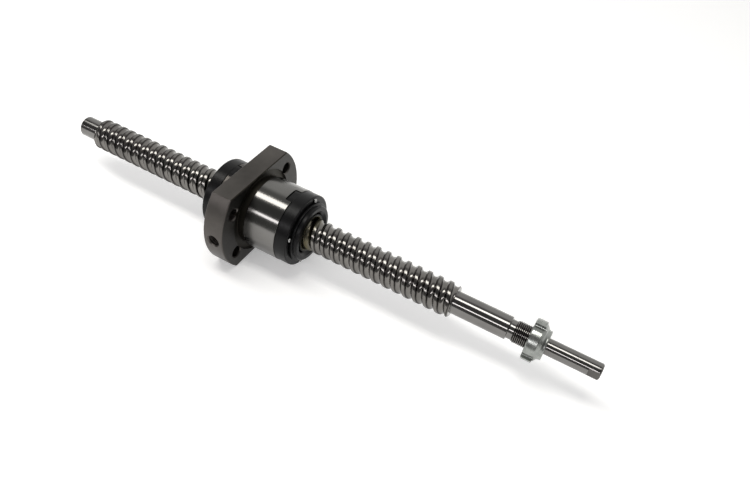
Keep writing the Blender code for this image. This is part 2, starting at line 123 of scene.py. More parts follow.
RETURN_CENTRE_R = 12.9 * MM
RETURN_ANGLE = math.radians(130)

# End caps, seals and their screws
CAP_R = 16.8 * MM
CAP_LENGTH = 6.1 * MM
CAP_GAP = 0.3 * MM
CAP_BORE_R = 8.6 * MM
CAP_SEAT_R = 12.2 * MM
CAP_SEAT_DEPTH = 3.4 * MM
TAB_WIDTH = 7.5 * MM
TAB_LENGTH = 2.7 * MM
TAB_DEPTH = 3.2 * MM
TAB_ANGLE = math.radians(2.5)
SEAL_INNER_R = 7.85 * MM
SEAL_OUTER_R = 11.9 * MM
SEAL_LENGTH = 2.4 * MM
SEAL_HUB_R = 9.2 * MM
SEAL_HUB_REACH = 2.6 * MM     # how far the right hub stands out of its cap
RING_OUTER_R = 14.1 * MM
RING_STEP_R = 13.0 * MM
RING_OPENING_R = 9.6 * MM
RING_FLANGE = 1.0 * MM        # thickness of the wide part of the ring
RING_STEP = 1.2 * MM
RING_DISH = 1.5 * MM          # where the dished mouth of the ring ends
RING_HEIGHT = 2.9 * MM
RING_RIM = 1.4 * MM
CAP_SCREW_CIRCLE_R = 15.1 * MM
CAP_SCREW_ANGLES = [math.radians(a) for a in (67.5, 157.5, 247.5, 337.5)]
CAP_SCREW_HEAD_R = 0.9 * MM
CAP_SCREW_HEAD = 0.6 * MM
CAP_SCREW_SHANK_R = 0.6 * MM
CAP_SCREW_LENGTH = 10.0 * MM

# Balls
BALL_SPACING = 3.24 * MM
LOADED_TURNS = 2.8
LOADED_CENTRE = -96.0 * MM

# Locknut
LOCKNUT_LEFT = 33.1 * MM
LOCKNUT_RIM_RIGHT = 37.7 * MM
LOCKNUT_RIGHT = 40.6 * MM
LOCKNUT_R = 9.0 * MM
LOCKNUT_COLLAR = ((0.0, 8.2), (0.6, 7.65), (1.3, 6.65), (2.1, 6.3))   # mm past the rim, radius in mm
LOCKNUT_BORE_R = 5.15 * MM
LOCKNUT_SLOTS = 4
LOCKNUT_TURN = math.radians(51)
LOCKNUT_SLOT_WIDTH = 3.6 * MM
LOCKNUT_SLOT_DEPTH = 1.7 * MM
INSERT_OUTER_R = 6.9 * MM
INSERT_LEFT = 36.2 * MM
INSERT_RIGHT = 38.0 * MM

# Looks
GRINDING_LINES = 9000.0       # lines in a metre
LATHE_LINES = 5200.0
JOURNAL_TONE = (0.195, 0.19, 0.183)
BARREL_TONE = (0.170, 0.166, 0.159)
# Near-black steel for the recess in the flange face, the neck, the bore and the holes deep in the body:
# painted shade.
RECESS_SHADE_TONE = (0.034, 0.031, 0.025)
FLANGE_TONE = (0.088, 0.081, 0.075)
# Darker copy of the flange tone for the flange's front face: painted shade, standing in for the darker
# reflections on that face.
FLANGE_FACE_SHADE_TONE = (0.050, 0.048, 0.045)
MILLED_TONE = (0.115, 0.110, 0.104)
CAP_SCREW_TONE = (0.42, 0.42, 0.41)
# Tones by depth on the ball thread: the dark bands just inside the land edges are painted shade, drawn as
# dark lines along both edges of each land.
THREAD_EDGE_SHADE_TONES = ((0.835, 0.19), (0.90, 0.18), (0.945, 0.065), (0.985, 0.026), (0.994, 0.18))
# Tones by depth on the fine thread: painted shade in the roots and the relief groove, and a painted highlight
# on the crests.
FINE_THREAD_HIGHLIGHT_SHADE_TONES = ((0.86, 0.045), (0.93, 0.050), (0.975, 0.085), (0.995, 0.22))
GREASE_TONE = (0.105, 0.092, 0.052)
GREASE_LEFT = -74.0 * MM      # the smear of grease beside the right seal
GREASE_FULL = -69.0 * MM
GREASE_RIGHT = -66.2 * MM
GREASE_RAGGED = 3.0 * MM
SEAL_OLIVE_R = 8.1 * MM       # the seal is olive within this radius and dark outside it
SEAL_OLIVE_FADE = 0.4 * MM

# Studio
FLOOR_Z = -20.0 * MM
FLOOR_HALF = 3.0
LAMP_DISTANCE = 0.9
LAMP_LENGTH = 1.1
LAMP_X = -0.40
# Brightness of the room by the angle about the screw, in degrees from the back (+Y) over the top
ROOM_LEVELS = ((0.0, 0.95), (56.0, 0.85), (68.0, 0.30), (104.0, 0.26), (112.0, 0.14), (152.0, 0.14),
               (176.0, 0.20), (180.0, 0.6))
CAMERA_PLACE = (0.043377, -0.179468, 0.208902)
CAMERA_FORWARD = (-0.29229, 0.63713, -0.71318)
CAMERA_ROLL = math.radians(7.2)
CAMERA_LENS = 31.97
SENSOR = 36.0


# ---------------------------------------------------------------- materials

class Nodes:
    """Short way to build one material's node tree. Positions are read in the part's own frame."""

    def __init__(self, name):
        self.mat = bpy.data.materials.new(name)
        self.mat.use_nodes = True
        self.tree = self.mat.node_tree
        self.shader = self.tree.nodes["Principled BSDF"]
        self.place = self.tree.nodes.new("ShaderNodeTexCoord").outputs["Object"]

    def add(self, kind, **settings):
        node = self.tree.nodes.new(kind)
        for key, value in settings.items():
            setattr(node, key, value)
        return node

    def link(self, source, target):
        self.tree.links.new(source, target)

    def scaled(self, scale):
        mapping = self.add("ShaderNodeMapping")
        mapping.inputs["Scale"].default_value = scale
        self.link(self.place, mapping.inputs["Vector"])
        return mapping.outputs["Vector"]

    def noise(self, scale, detail=4.0, roughness=0.55):
        node = self.add("ShaderNodeTexNoise")
        node.inputs["Scale"].default_value = 1.0
        node.inputs["Detail"].default_value = detail
        node.inputs["Roughness"].default_value = roughness
        self.link(self.scaled(scale), node.inputs["Vector"])
        return node.outputs["Fac"]

    def ramp(self, factor, stops):
        node = self.add("ShaderNodeValToRGB")
        elements = node.color_ramp.elements
        while len(elements) < len(stops):
            elements.new(0.5)
        for element, (place, colour) in zip(elements, stops):
            element.position = place
            element.color = (*colour, 1.0) if len(colour) == 3 else colour
        self.link(factor, node.inputs["Fac"])
        return node.outputs["Color"]

    def grey_ramp(self, factor, stops):
        return self.ramp(factor, [(place, (v, v, v)) for place, v in stops])

    def math(self, operation, a, b=None, c=None, clamp=False):
        node = self.add("ShaderNodeMath", operation=operation, use_clamp=clamp)
        for socket, value in zip(node.inputs, (a, b, c)):
            if value is None:
                continue
            if isinstance(value, (int, float)):
                socket.default_value = value
            else:
                self.link(value, socket)
        return node.outputs["Value"]

    def mix(self, factor, a, b, blend="MIX"):
        node = self.add("ShaderNodeMix", data_type="RGBA", blend_type=blend)
        for socket, value in zip((node.inputs[0], node.inputs[6], node.inputs[7]), (factor, a, b)):
            if isinstance(value, (int, float)):
                socket.default_value = value
            elif isinstance(value, tuple):
                socket.default_value = (*value, 1.0)
            else:
                self.link(value, socket)
        return node.outputs[2]

    def axis_radius(self):
        """Distance from the screw's axis."""
        flat = self.add("ShaderNodeVectorMath", operation="MULTIPLY")
        flat.inputs[1].default_value = (0.0, 1.0, 1.0)
        self.link(self.place, flat.inputs[0])
        length = self.add("ShaderNodeVectorMath", operation="LENGTH")
        self.link(flat.outputs["Vector"], length.inputs[0])
        return length.outputs["Value"]

    def along(self):
        split = self.add("ShaderNodeSeparateXYZ")
        self.link(self.place, split.inputs["Vector"])
        return split.outputs["X"]

    def turning_marks(self, lines_per_metre):
        """Fine rings around the axis, as a grinding wheel or a lathe leaves."""
        return self.noise((lines_per_metre, 18.0, 18.0), detail=2.0)

    def bump(self, height, strength, distance, after=None):
        node = self.add("ShaderNodeBump")
        node.inputs["Strength"].default_value = strength
        node.inputs["Distance"].default_value = distance
        self.link(height, node.inputs["Height"])
        if after is not None:
            self.link(after, node.inputs["Normal"])
        return node.outputs["Normal"]

    def finish(self, colour, roughness, metallic, normal=None, **constants):
        for key, value in (("Base Color", colour), ("Roughness", roughness)):
            if isinstance(value, (int, float, tuple)):
                self.shader.inputs[key].default_value = value
            else:
                self.link(value, self.shader.inputs[key])
        self.shader.inputs["Metallic"].default_value = metallic
        if normal is not None:
            self.link(normal, self.shader.inputs["Normal"])
        for key, value in constants.items():
            self.shader.inputs[key.replace("_", " ")].default_value = value
        return self.mat


def ground_steel(name, tone, roughness, stretch=0.85):
    """Hardened steel, ground bright, with faint marks around the axis and a few duller patches."""
    n = Nodes(name)
    patches = n.noise((60.0, 60.0, 60.0), detail=3.0)
    lines = n.turning_marks(GRINDING_LINES)
    colour = n.ramp(patches, [
        (0.30, tuple(0.86 * c for c in tone)),
        (0.55, tone),
        (0.80, tuple(1.10 * c for c in tone)),
    ])
    rough = n.grey_ramp(n.mix(0.85, lines, patches), [(0.25, roughness * 0.85), (0.75, roughness * 1.20)])
    around = n.add("ShaderNodeTangent", direction_type="RADIAL", axis="X")
    n.link(around.outputs["Tangent"], n.shader.inputs["Tangent"])
    return n.finish(colour, rough, 1.0, n.bump(lines, 0.012, 0.00002), Anisotropic=stretch,
                    Anisotropic_Rotation=0.25)


def thread_steel(name, outer_r, painted_depth_tones, greased=False):
    """Threaded steel whose tone changes with depth, with painted shade and painted highlights in that tone.
    The depth tones give (share of the outer radius, tone).
    """
    n = Nodes(name)
    patches = n.noise((90.0, 90.0, 90.0), detail=3.0)
    lines = n.noise((1800.0, 260.0, 260.0), detail=3.0)
    radius = n.math("MULTIPLY", n.axis_radius(), 1.0 / outer_r)
    # painted light and shade: the tone follows the depth of the thread
    painted_by_depth = n.ramp(radius, [(share, (v, 0.955 * v, 0.90 * v)) for share, v in painted_depth_tones])
    colour = n.mix(1.0, painted_by_depth, n.grey_ramp(patches, [(0.3, 0.82), (0.7, 1.12)]), "MULTIPLY")
    rough = n.grey_ramp(n.mix(0.4, lines, patches), [(0.3, 0.10), (0.75, 0.22)])
    if greased:
        smear = n.noise((420.0, 420.0, 420.0), detail=4.0)
        middle = n.math("SUBTRACT", n.along(), GREASE_RAGGED / 2)
        place = n.math("MULTIPLY_ADD", smear, GREASE_RAGGED, middle)
        rise = n.math("DIVIDE", n.math("SUBTRACT", place, GREASE_LEFT), GREASE_FULL - GREASE_LEFT, clamp=True)
        before_end = n.math("SUBTRACT", GREASE_RIGHT, place)
        fall = n.math("DIVIDE", before_end, GREASE_RIGHT - GREASE_FULL, clamp=True)
        amount = n.math("MULTIPLY", n.math("MULTIPLY", rise, fall), 0.85)
        colour = n.mix(amount, colour, GREASE_TONE)
        rough = n.mix(amount, rough, (0.36, 0.36, 0.36))
    return n.finish(colour, rough, 1.0, n.bump(lines, 0.04, 0.00002))


def flange_steel(name, tone):
    """Blackish fine-ground flange with faint turning marks and a warm tint."""
    n = Nodes(name)
    patches = n.noise((45.0, 45.0, 45.0), detail=5.0)
    grain = n.noise((2600.0, 2600.0, 2600.0), detail=3.0)
    lines = n.turning_marks(LATHE_LINES)
    colour = n.ramp(patches, [
        (0.30, tuple(0.70 * c for c in tone)),
        (0.52, tone),
        (0.74, tuple(1.34 * c for c in tone)),
    ])
    rough = n.grey_ramp(n.mix(0.5, grain, patches), [(0.3, 0.30), (0.7, 0.50)])
    fine = n.bump(grain, 0.25, 0.00002)
    return n.finish(colour, rough, 1.0, n.bump(lines, 0.15, 0.00002, fine))


def black_plastic(name):
    """Moulded satin plastic with a fine grain and slight wear of the gloss."""
    n = Nodes(name)
    grain = n.noise((1500.0, 1500.0, 1500.0), detail=4.0)
    patches = n.noise((70.0, 70.0, 70.0), detail=3.0)
    colour = n.ramp(patches, [(0.3, (0.0022, 0.0022, 0.0025)), (0.7, (0.0045, 0.0044, 0.0047))])
    rough = n.grey_ramp(n.mix(0.5, grain, patches), [(0.3, 0.24), (0.7, 0.38)])
    return n.finish(colour, rough, 0.0, n.bump(grain, 0.18, 0.00003), Specular_IOR_Level=0.16)


def greasy_seal(name):
    """Seal plastic, dark, with a film of olive-brown grease next to the screw."""
    n = Nodes(name)
    smear = n.noise((240.0, 240.0, 240.0), detail=5.0, roughness=0.65)
    olive = n.ramp(smear, [
        (0.3, (0.050, 0.044, 0.022)),
        (0.55, (0.11, 0.098, 0.048)),
        (0.8, (0.19, 0.17, 0.09)),
    ])
    past_olive = n.math("SUBTRACT", n.axis_radius(), SEAL_OLIVE_R)
    outward = n.math("DIVIDE", past_olive, SEAL_OLIVE_FADE, clamp=True)
    colour = n.mix(outward, olive, (0.006, 0.006, 0.005))
    rough = n.grey_ramp(smear, [(0.3, 0.30), (0.7, 0.50)])
    return n.finish(colour, rough, 0.0, n.bump(smear, 0.5, 0.0001), Specular_IOR_Level=0.12)


def zinc_plate(name):
    """Passivated zinc: light, slightly green, satin, with a fine crystalline mottle."""
    n = Nodes(name)
    cells = n.add("ShaderNodeTexVoronoi")
    cells.inputs["Scale"].default_value = 1.0
    n.link(n.scaled((900.0, 900.0, 900.0)), cells.inputs["Vector"])
    mottle = n.noise((160.0, 160.0, 160.0), detail=4.0)
    both = n.mix(0.35, mottle, cells.outputs["Color"])
    colour = n.ramp(both, [
        (0.25, (0.25, 0.262, 0.248)),
        (0.55, (0.33, 0.343, 0.325)),
        (0.85, (0.43, 0.445, 0.42)),
    ])
    rough = n.grey_ramp(mottle, [(0.3, 0.22), (0.7, 0.34)])
    return n.finish(colour, rough, 1.0, n.bump(both, 0.14, 0.00003))


def polished_balls(name):
    """Bearing steel, mirror bright under a thin film of oil."""
    n = Nodes(name)
    film = n.noise((800.0, 800.0, 800.0))
    colour = n.ramp(film, [(0.3, (0.62, 0.61, 0.60)), (0.7, (0.74, 0.73, 0.72))])
    return n.finish(colour, n.grey_ramp(film, [(0.3, 0.06), (0.7, 0.14)]), 1.0)


def natural_nylon(name):
    """Undyed nylon, off-white and slightly see-through."""
    n = Nodes(name)
    grain = n.noise((900.0, 900.0, 900.0))
    colour = n.ramp(grain, [(0.3, (0.62, 0.60, 0.52)), (0.7, (0.74, 0.72, 0.64))])
    return n.finish(colour, n.grey_ramp(grain, [(0.3, 0.42), (0.7, 0.56)]), 0.0, n.bump(grain, 0.2, 0.00002),
                    Subsurface_Weight=0.15, Subsurface_Scale=0.001)


# ---------------------------------------------------------------- geometry

def outward_mesh(name, bm):
    """A mesh of a closed bmesh, with its faces turned outwards. The bmesh is used up."""
    bmesh.ops.recalc_face_normals(bm, faces=bm.faces)
    if bm.calc_volume(signed=True) < 0.0:
        bmesh.ops.reverse_faces(bm, faces=bm.faces)
    mesh = bpy.data.meshes.new(name)
    bm.to_mesh(mesh)
    bm.free()
    return mesh


def linked(name, data):
    obj = bpy.data.objects.new(name, data)
    bpy.context.scene.collection.objects.link(obj)
    return obj


def add_piece(name, bm, materials, body, node, pick=None):
    """Make a piece of the object from a bmesh. pick gives the material's index from a face's middle."""
    mesh = outward_mesh(name, bm)
    for material in materials:
        mesh.materials.append(material)
    if pick is not None:
        for face in mesh.polygons:
            face.material_index = pick(face.center)
    mesh.shade_smooth()
    mesh.set_sharp_from_angle(angle=SHARP)
    obj = linked(name, mesh)
    weighted = obj.modifiers.new("weighted_normals", "WEIGHTED_NORMAL")
    weighted.mode = "FACE_AREA"
    weighted.weight = 60
    weighted.keep_sharp = True
    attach(obj, body)
    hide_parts(node)


def ring_point(x, radius, angle):
    """A point at an angle about the X axis, measured from +Y towards +Z."""
    return Vector((x, radius * math.cos(angle), radius * math.sin(angle)))


def rounded(points, radii, steps=5):
    """A profile with its corners rounded. radii has one radius for each point, 0 for a plain corner."""
    out = []
    count = len(points)
    for i, (point, radius) in enumerate(zip(points, radii)):
        if not radius:
            out.append(tuple(point))
            continue
        here = Vector(point)
        before = Vector(points[i - 1]) - here
        after = Vector(points[(i + 1) % count]) - here
        half = before.angle(after) / 2
        back = min(radius / math.tan(half), before.length * 0.48, after.length * 0.48)
        size = back * math.tan(half)
        start, end = here + before.normalized() * back, here + after.normalized() * back
        centre = here + (before.normalized() + after.normalized()).normalized() * (size / math.sin(half))
        from_centre, to_centre = start - centre, end - centre
        sweep = from_centre.angle_signed(to_centre)
        for k in range(steps + 1):
            turned_by = Matrix.Rotation(-sweep * k / steps, 2)
            out.append(tuple(centre + turned_by @ from_centre))
    return out


def revolve(profile, sides, closed=True):
    """Turn a profile of (x, radius) points about the X axis. A closed profile makes a ring."""
    bm = bmesh.new()
    rings = []
    for x, r in profile:
        if r < 1e-9:
            rings.append([bm.verts.new((x, 0.0, 0.0))])
        else:
            rings.append([bm.verts.new(ring_point(x, r, TURN * k / sides)) for k in range(sides)])
    pairs = list(zip(rings, rings[1:]))
    if closed:
        pairs.append((rings[-1], rings[0]))
    for near, far in pairs:
        for k in range(sides):
            n = (k + 1) % sides
            corners = []
            for vert in (near[k % len(near)], near[n % len(near)], far[n % len(far)], far[k % len(far)]):
                if vert not in corners:
                    corners.append(vert)
            if len(corners) > 2:
                bm.faces.new(corners)
    return bm


def loft(rings):
    """Join rings with equal numbers of points and close both ends."""
    bm = bmesh.new()
    loops = [[bm.verts.new(p) for p in ring] for ring in rings]
    count = len(loops[0])
    for near, far in zip(loops, loops[1:]):
        for k in range(count):
            n = (k + 1) % count
            bm.faces.new((near[k], near[n], far[n], far[k]))
    bm.faces.new(reversed(loops[0]))
    bm.faces.new(loops[-1])
    return bm


def tube(start, end, radius, sides, bulge=None):
    """A cylinder between two points. bulge gives (distance, radius) points along it instead."""
    axis = (end - start).normalized()
    place = Matrix.Translation(start) @ axis.to_track_quat("X", "Z").to_matrix().to_4x4()
    points = bulge or [(0.0, radius), ((end - start).length, radius)]
    profile = [(points[0][0], 0.0), *points, (points[-1][0], 0.0)]
    bm = revolve(profile, sides, closed=False)
    bm.transform(place)
    return bm


def box(low, high, turn=0.0, edge=0.0):
    """A box from its low to its high corner, turned about the X axis, with rounded edges if asked."""
    bm = bmesh.new()
    bmesh.ops.create_cube(bm, size=1.0)
    low, high = Vector(low), Vector(high)
    bm.transform(Matrix.Translation((low + high) / 2) @ Matrix.Diagonal((*(high - low), 1.0)))
    if edge:
        bmesh.ops.bevel(bm, geom=bm.edges, offset=edge, segments=3, profile=0.5, affect="EDGES")
    bm.transform(Matrix.Rotation(turn, 4, "X"))
    return bm


def boolean(bm, others, operation):
    """bm cut by, joined to or kept inside the other bmeshes, one after another, as exact Booleans."""
    for other in others:
        meshes = [outward_mesh("boolean_base", bm), outward_mesh("boolean_other", other)]
        objects = [linked(mesh.name, mesh) for mesh in meshes]
        mod = objects[0].modifiers.new("cut", "BOOLEAN")
        mod.operation = operation
        mod.solver = "EXACT"
        mod.object = objects[1]
        bpy.context.view_layer.update()
        result = objects[0].evaluated_get(bpy.context.evaluated_depsgraph_get())
        bm = bmesh.new()
        bm.from_mesh(result.to_mesh())
        result.to_mesh_clear()
        for obj, mesh in zip(objects, meshes):
            bpy.data.objects.remove(obj)
            bpy.data.meshes.remove(mesh)
    return bm


# ---------------------------------------------------------------- the screw

def groove_radius(u, arc_r, land_r, edge):
    """Radius of a two-start thread at an axial distance u from the nearest groove's centre."""
    depth = BALL_CENTRE_R - land_r
    half = math.sqrt(arc_r ** 2 - depth ** 2)
    if abs(u) >= half:
        over = abs(u) - half
        ease = max(0.0, 1.0 - over / edge) if edge else 0.0
        return land_r - math.copysign(GROOVE_EDGE_DROP * edge * ease * ease, depth)
    return BALL_CENTRE_R - math.copysign(math.sqrt(arc_r ** 2 - u ** 2), depth)


def section(arc_r, land_r, edge, in_groove, in_land):
    """(angle, radius) points of one start: across the groove, then across the land."""
    half = math.sqrt(arc_r ** 2 - (BALL_CENTRE_R - land_r) ** 2)
    limit = math.asin(half / arc_r)
    us = [arc_r * math.sin(limit * (2 * k / in_groove - 1)) for k in range(in_groove)]
    land = PITCH - 2 * half
    stops = [0.0, edge / 2 / land, edge / land] if edge else [0.0]
    rest = in_land - 2 * len(stops) + 1
    shares = stops + [stops[-1] + (1 - 2 * stops[-1]) * (k + 1) / (rest + 1) for k in range(rest)]
    shares += [1 - s for s in reversed(stops[1:])] or [BORE_LAST_SHARE]
    us += [half + share * land for share in shares]
    points = []
    for u in us:
        near = u if u < PITCH / 2 else u - PITCH
        points.append((TURN * u / LEAD, groove_radius(near, arc_r, land_r, edge)))
    return points


def thread_rings(left, right, points, steps, chamfer=0.0, land_r=0.0):
    """Cross-sections of a two-start thread, with chamfered ends if asked."""
    step = LEAD / steps
    count = round((right - left) / step)
    xs = [left + (right - left) * i / count for i in range(count + 1)]
    if chamfer:
        extra = [chamfer * k / 4 for k in range(1, 4)] + [chamfer]
        xs = sorted(set(xs + [left + e for e in extra] + [right - e for e in extra]))
    rings = []
    for x in xs:
        limit = land_r - chamfer + min(x - left, right - x) if chamfer else math.inf
        phase = TURN * (x - THREAD_SHIFT) / LEAD
        rings.append([
            ring_point(x, min(radius, limit), phase + start * TURN / STARTS - angle)
            for start in range(STARTS) for angle, radius in reversed(points)
        ])
    return rings


def even_angles(like):
    """Evenly spaced angles, as many as another ring has points and starting beside its first point."""
    first = math.atan2(like[0].z, like[0].y)
    return [first + TURN * k / len(like) for k in range(len(like))]


def plain_ring(x, radius, like):
    """A round ring with as many points as another ring."""
    return [ring_point(x, radius, angle) for angle in even_angles(like)]


def screw_shaft(steel, thread, dark, milled):
    points = section(GROOVE_R, SCREW_R, GROOVE_EDGE, GROOVE_POINTS, LAND_POINTS)
    rings = thread_rings(THREAD_LEFT, THREAD_RIGHT, points, THREAD_STEPS, THREAD_CHAMFER, SCREW_R)
    first, last = rings[0], rings[-1]
    small = 0.4 * MM
    left_profile = rounded([
        (LEFT_END, 0.0), (LEFT_END, JOURNAL_R - END_CHAMFER), (LEFT_END + END_CHAMFER, JOURNAL_R),
        (THREAD_LEFT, JOURNAL_R), (THREAD_LEFT, JOURNAL_R + small)],
        [0, 0.12 * MM, 0.2 * MM, 0.25 * MM, 0])[1:-1]
    right_profile = rounded([
        (0.0, JOURNAL_R + small), (0.0, JOURNAL_R), (JOURNAL_RIGHT, JOURNAL_R), (JOURNAL_RIGHT, RELIEF_R),
        (RELIEF_RIGHT, RELIEF_R), (RELIEF_RIGHT, FINE_THREAD_R - FINE_DEPTH)],
        [0, 0.25 * MM, 0.35 * MM, 0.3 * MM, 0.3 * MM, 0])[1:]
    before = [plain_ring(x, r, first) for x, r in left_profile]
    after = [plain_ring(x, r, last) for x, r in right_profile]
    count = int((FINE_THREAD_RIGHT - RELIEF_RIGHT) / FINE_PITCH * FINE_STEPS)
    for i in range(count + 1):
        x = RELIEF_RIGHT + (FINE_THREAD_RIGHT - RELIEF_RIGHT) * i / count
        limit = FINE_THREAD_R - FINE_CHAMFER + min(x - RELIEF_RIGHT, FINE_THREAD_RIGHT - x)
        ring = []
        for angle in even_angles(last):
            share = (x / FINE_PITCH - angle / TURN) % 1.0
            rise = min(1.0, FINE_FLANK * min(share, 1.0 - share))
            radius = FINE_THREAD_R - FINE_DEPTH * (1.0 - rise)
            ring.append(ring_point(x, min(radius, limit), angle))
        after.append(ring)
    flat_start = DRIVE_RIGHT - DRIVE_FLAT_LENGTH
    drive_profile = [(FINE_THREAD_RIGHT, DRIVE_R + 0.2 * MM), (FINE_THREAD_RIGHT + 0.2 * MM, DRIVE_R),
                     (DRIVE_MARK - DRIVE_MARK_HALF, DRIVE_R), (DRIVE_MARK, DRIVE_R - DRIVE_MARK_DEPTH),
                     (DRIVE_MARK + DRIVE_MARK_HALF, DRIVE_R),
                     (flat_start - 0.01 * MM, DRIVE_R), (flat_start + 0.01 * MM, DRIVE_R),
                     (flat_start + 0.5 * MM, DRIVE_R)]
    drive_profile += rounded([(DRIVE_RIGHT - 2 * MM, DRIVE_R), (DRIVE_RIGHT - 0.5 * MM, DRIVE_R),
                              (DRIVE_RIGHT, DRIVE_R - 0.5 * MM), (DRIVE_RIGHT, 0.0)],
                             [0, 0.15 * MM, 0.12 * MM, 0])[:-1]
    for x, r in drive_profile:
        ring = []
        for angle in even_angles(last):
            off = math.cos(angle - DRIVE_FLAT_ANGLE)
            cut = (DRIVE_R - DRIVE_FLAT_DEPTH) / off if off > 0.5 and x > flat_start else math.inf
            ring.append(ring_point(x, min(r, cut), angle))
        after.append(ring)
    bm = loft(before + rings + after)

    def pick(centre):
        if THREAD_LEFT < centre.x < THREAD_RIGHT:
            return 1
        if flat_start < centre.x < DRIVE_RIGHT - 0.1 * MM:
            return 3 if math.hypot(centre.y, centre.z) < DRIVE_R - 0.03 * MM else 0
        return 2 if RELIEF_RIGHT - 0.1 * MM < centre.x < FINE_THREAD_RIGHT else 0

    add_piece("screw_shaft_steel", bm, [steel, thread, dark, milled], "screw", "screw_shaft",
              pick)


# ---------------------------------------------------------------- the ball nut

def nut_body(flange, barrel, shade, face_shade):
    e = EDGE
    soft = 0.2 * MM
    bm = revolve(rounded([
        (NUT_LEFT, 3 * MM), (NUT_LEFT, NUT_R), (FLANGE_LEFT, NUT_R), (FLANGE_LEFT, FLANGE_R),
        (FLANGE_RIGHT, FLANGE_R), (FLANGE_RIGHT, RECESS_R), (FLANGE_RIGHT - RECESS_DEPTH, RECESS_R),
        (FLANGE_RIGHT - RECESS_DEPTH, NECK_R), (NECK_RIGHT - e, NECK_R), (NECK_RIGHT, NUT_R),
        (NUT_RIGHT, NUT_R), (NUT_RIGHT, 3 * MM)],
        [0, 0.3 * MM, soft, e, e, soft, soft, soft, soft, soft, 0.25 * MM, 0]), NUT_SIDES)
    past = 2 * MM
    clear = 0.1 * MM              # the chamfers run on past the faces of the flange
    low = FLANGE_FLAT - FLANGE_CHAMFER - clear
    outline = [(NUT_LEFT - past, low), (FLANGE_LEFT - clear, low),
               (FLANGE_LEFT + FLANGE_CHAMFER, FLANGE_FLAT), (FLANGE_RIGHT - FLANGE_CHAMFER, FLANGE_FLAT),
               (FLANGE_RIGHT + clear, low), (NUT_RIGHT + past, low)]
    loop = outline + [(x, -z) for x, z in reversed(outline)]
    keep = loft([[Vector((x, y, z)) for x, z in loop] for y in (-2 * FLANGE_R, 2 * FLANGE_R)])
    bm = boolean(bm, [keep], "INTERSECT")
    bore = section(BORE_GROOVE_R, BORE_LAND_R, 0.0, BORE_GROOVE_POINTS, BORE_LAND_POINTS)
    cutters = [loft(thread_rings(NUT_LEFT - past, NUT_RIGHT + past, bore, BORE_STEPS))]
    length = FLANGE_RIGHT - FLANGE_LEFT
    wide = BOLT_HOLE_R + BOLT_LIP + MM
    for angle in BOLT_ANGLES:
        ends = [ring_point(x, BOLT_CIRCLE_R, angle) for x in (FLANGE_LEFT - MM, FLANGE_RIGHT + MM)]
        cutters.append(tube(*ends, BOLT_HOLE_R, 40, [
            (0.0, wide), (MM + BOLT_LIP, BOLT_HOLE_R), (MM + length - BOLT_LIP, BOLT_HOLE_R),
            (2 * MM + length, wide)]))
    feed = FLANGE_R - PORT_DEPTH - BALL_CENTRE_R + 0.5 * MM
    bulge = [(0.0, PORT_FEED_R), (feed, PORT_FEED_R), (feed, PORT_R)]
    for k in range(int(2 * PORT_DEPTH / PORT_PITCH) - 1):
        distance = 0.5 * MM + k * PORT_PITCH / 2
        if distance < PORT_DEPTH - 1.3 * PORT_MOUTH:
            bulge.append((feed + distance, PORT_R if k % 2 else PORT_R + PORT_THREAD))
    bulge += [(feed + PORT_DEPTH - PORT_MOUTH, PORT_R + 0.1 * MM),
              (feed + PORT_DEPTH + MM, PORT_R + PORT_MOUTH + MM)]
    start = ring_point(PORT_X, BALL_CENTRE_R - 0.5 * MM, math.pi)
    cutters.append(tube(start, ring_point(PORT_X, FLANGE_R + MM, math.pi), PORT_R, 32, bulge))
    for start in range(STARTS):
        turn = start * TURN / STARTS
        ends = [ring_point(x, RETURN_CENTRE_R, RETURN_ANGLE + turn) for x in (NUT_LEFT - MM, NUT_RIGHT + MM)]
        cutters.append(tube(*ends, RETURN_HOLE_R, 20))
        for face, inward in ((NUT_LEFT, 1), (NUT_RIGHT, -1)):
            xs = sorted((face - inward * 2 * MM, face + inward * (TAB_LENGTH + CAP_GAP)))
            half = TAB_WIDTH / 2 + CAP_GAP
            cutters.append(box((xs[0], -half, NUT_R - TAB_DEPTH - CAP_GAP), (xs[1], half, 2 * NUT_R),
                               turn + inward * TAB_ANGLE, 0.5 * MM))
    for face, inward in ((NUT_LEFT, 1), (NUT_RIGHT, -1)):
        for angle in CAP_SCREW_ANGLES:
            ends = [ring_point(x, CAP_SCREW_CIRCLE_R, angle)
                    for x in (face - inward * MM, face + inward * (CAP_SCREW_LENGTH - CAP_LENGTH + MM))]
            cutters.append(tube(*ends, CAP_SCREW_SHANK_R + 0.2 * MM, 12))
    bm = boolean(bm, cutters, "DIFFERENCE")

    def pick(centre):
        radius = math.hypot(centre.y, centre.z)
        # the bore, the holes deep in the body, the neck and the recess in the flange face take the near-black
        # steel: painted shade
        if radius < NUT_R - 0.7 * MM:
            return 2
        if centre.x > NECK_RIGHT - e:
            return 1
        if radius < RECESS_R and centre.x > FLANGE_LEFT + MM:
            return 2
        # the flange's front face takes the darker copy of the flange steel: painted shade
        return 3 if centre.x > FLANGE_RIGHT - 0.02 * MM else 0

    add_piece("nut_body_steel", bm, [flange, barrel, shade, face_shade], "ball_nut", "nut_body",
              pick)


class CapEnd:
    """Turns distances measured outwards from one end face of the nut's steel body into X positions."""

    def __init__(self, side):
        self.side = side
        self.face = NUT_RIGHT if side == "right" else NUT_LEFT
        self.out = 1 if side == "right" else -1

    def x(self, distance):
        return self.face + self.out * distance

    def profile(self, points):
        return [(self.x(d), r) for d, r in points]


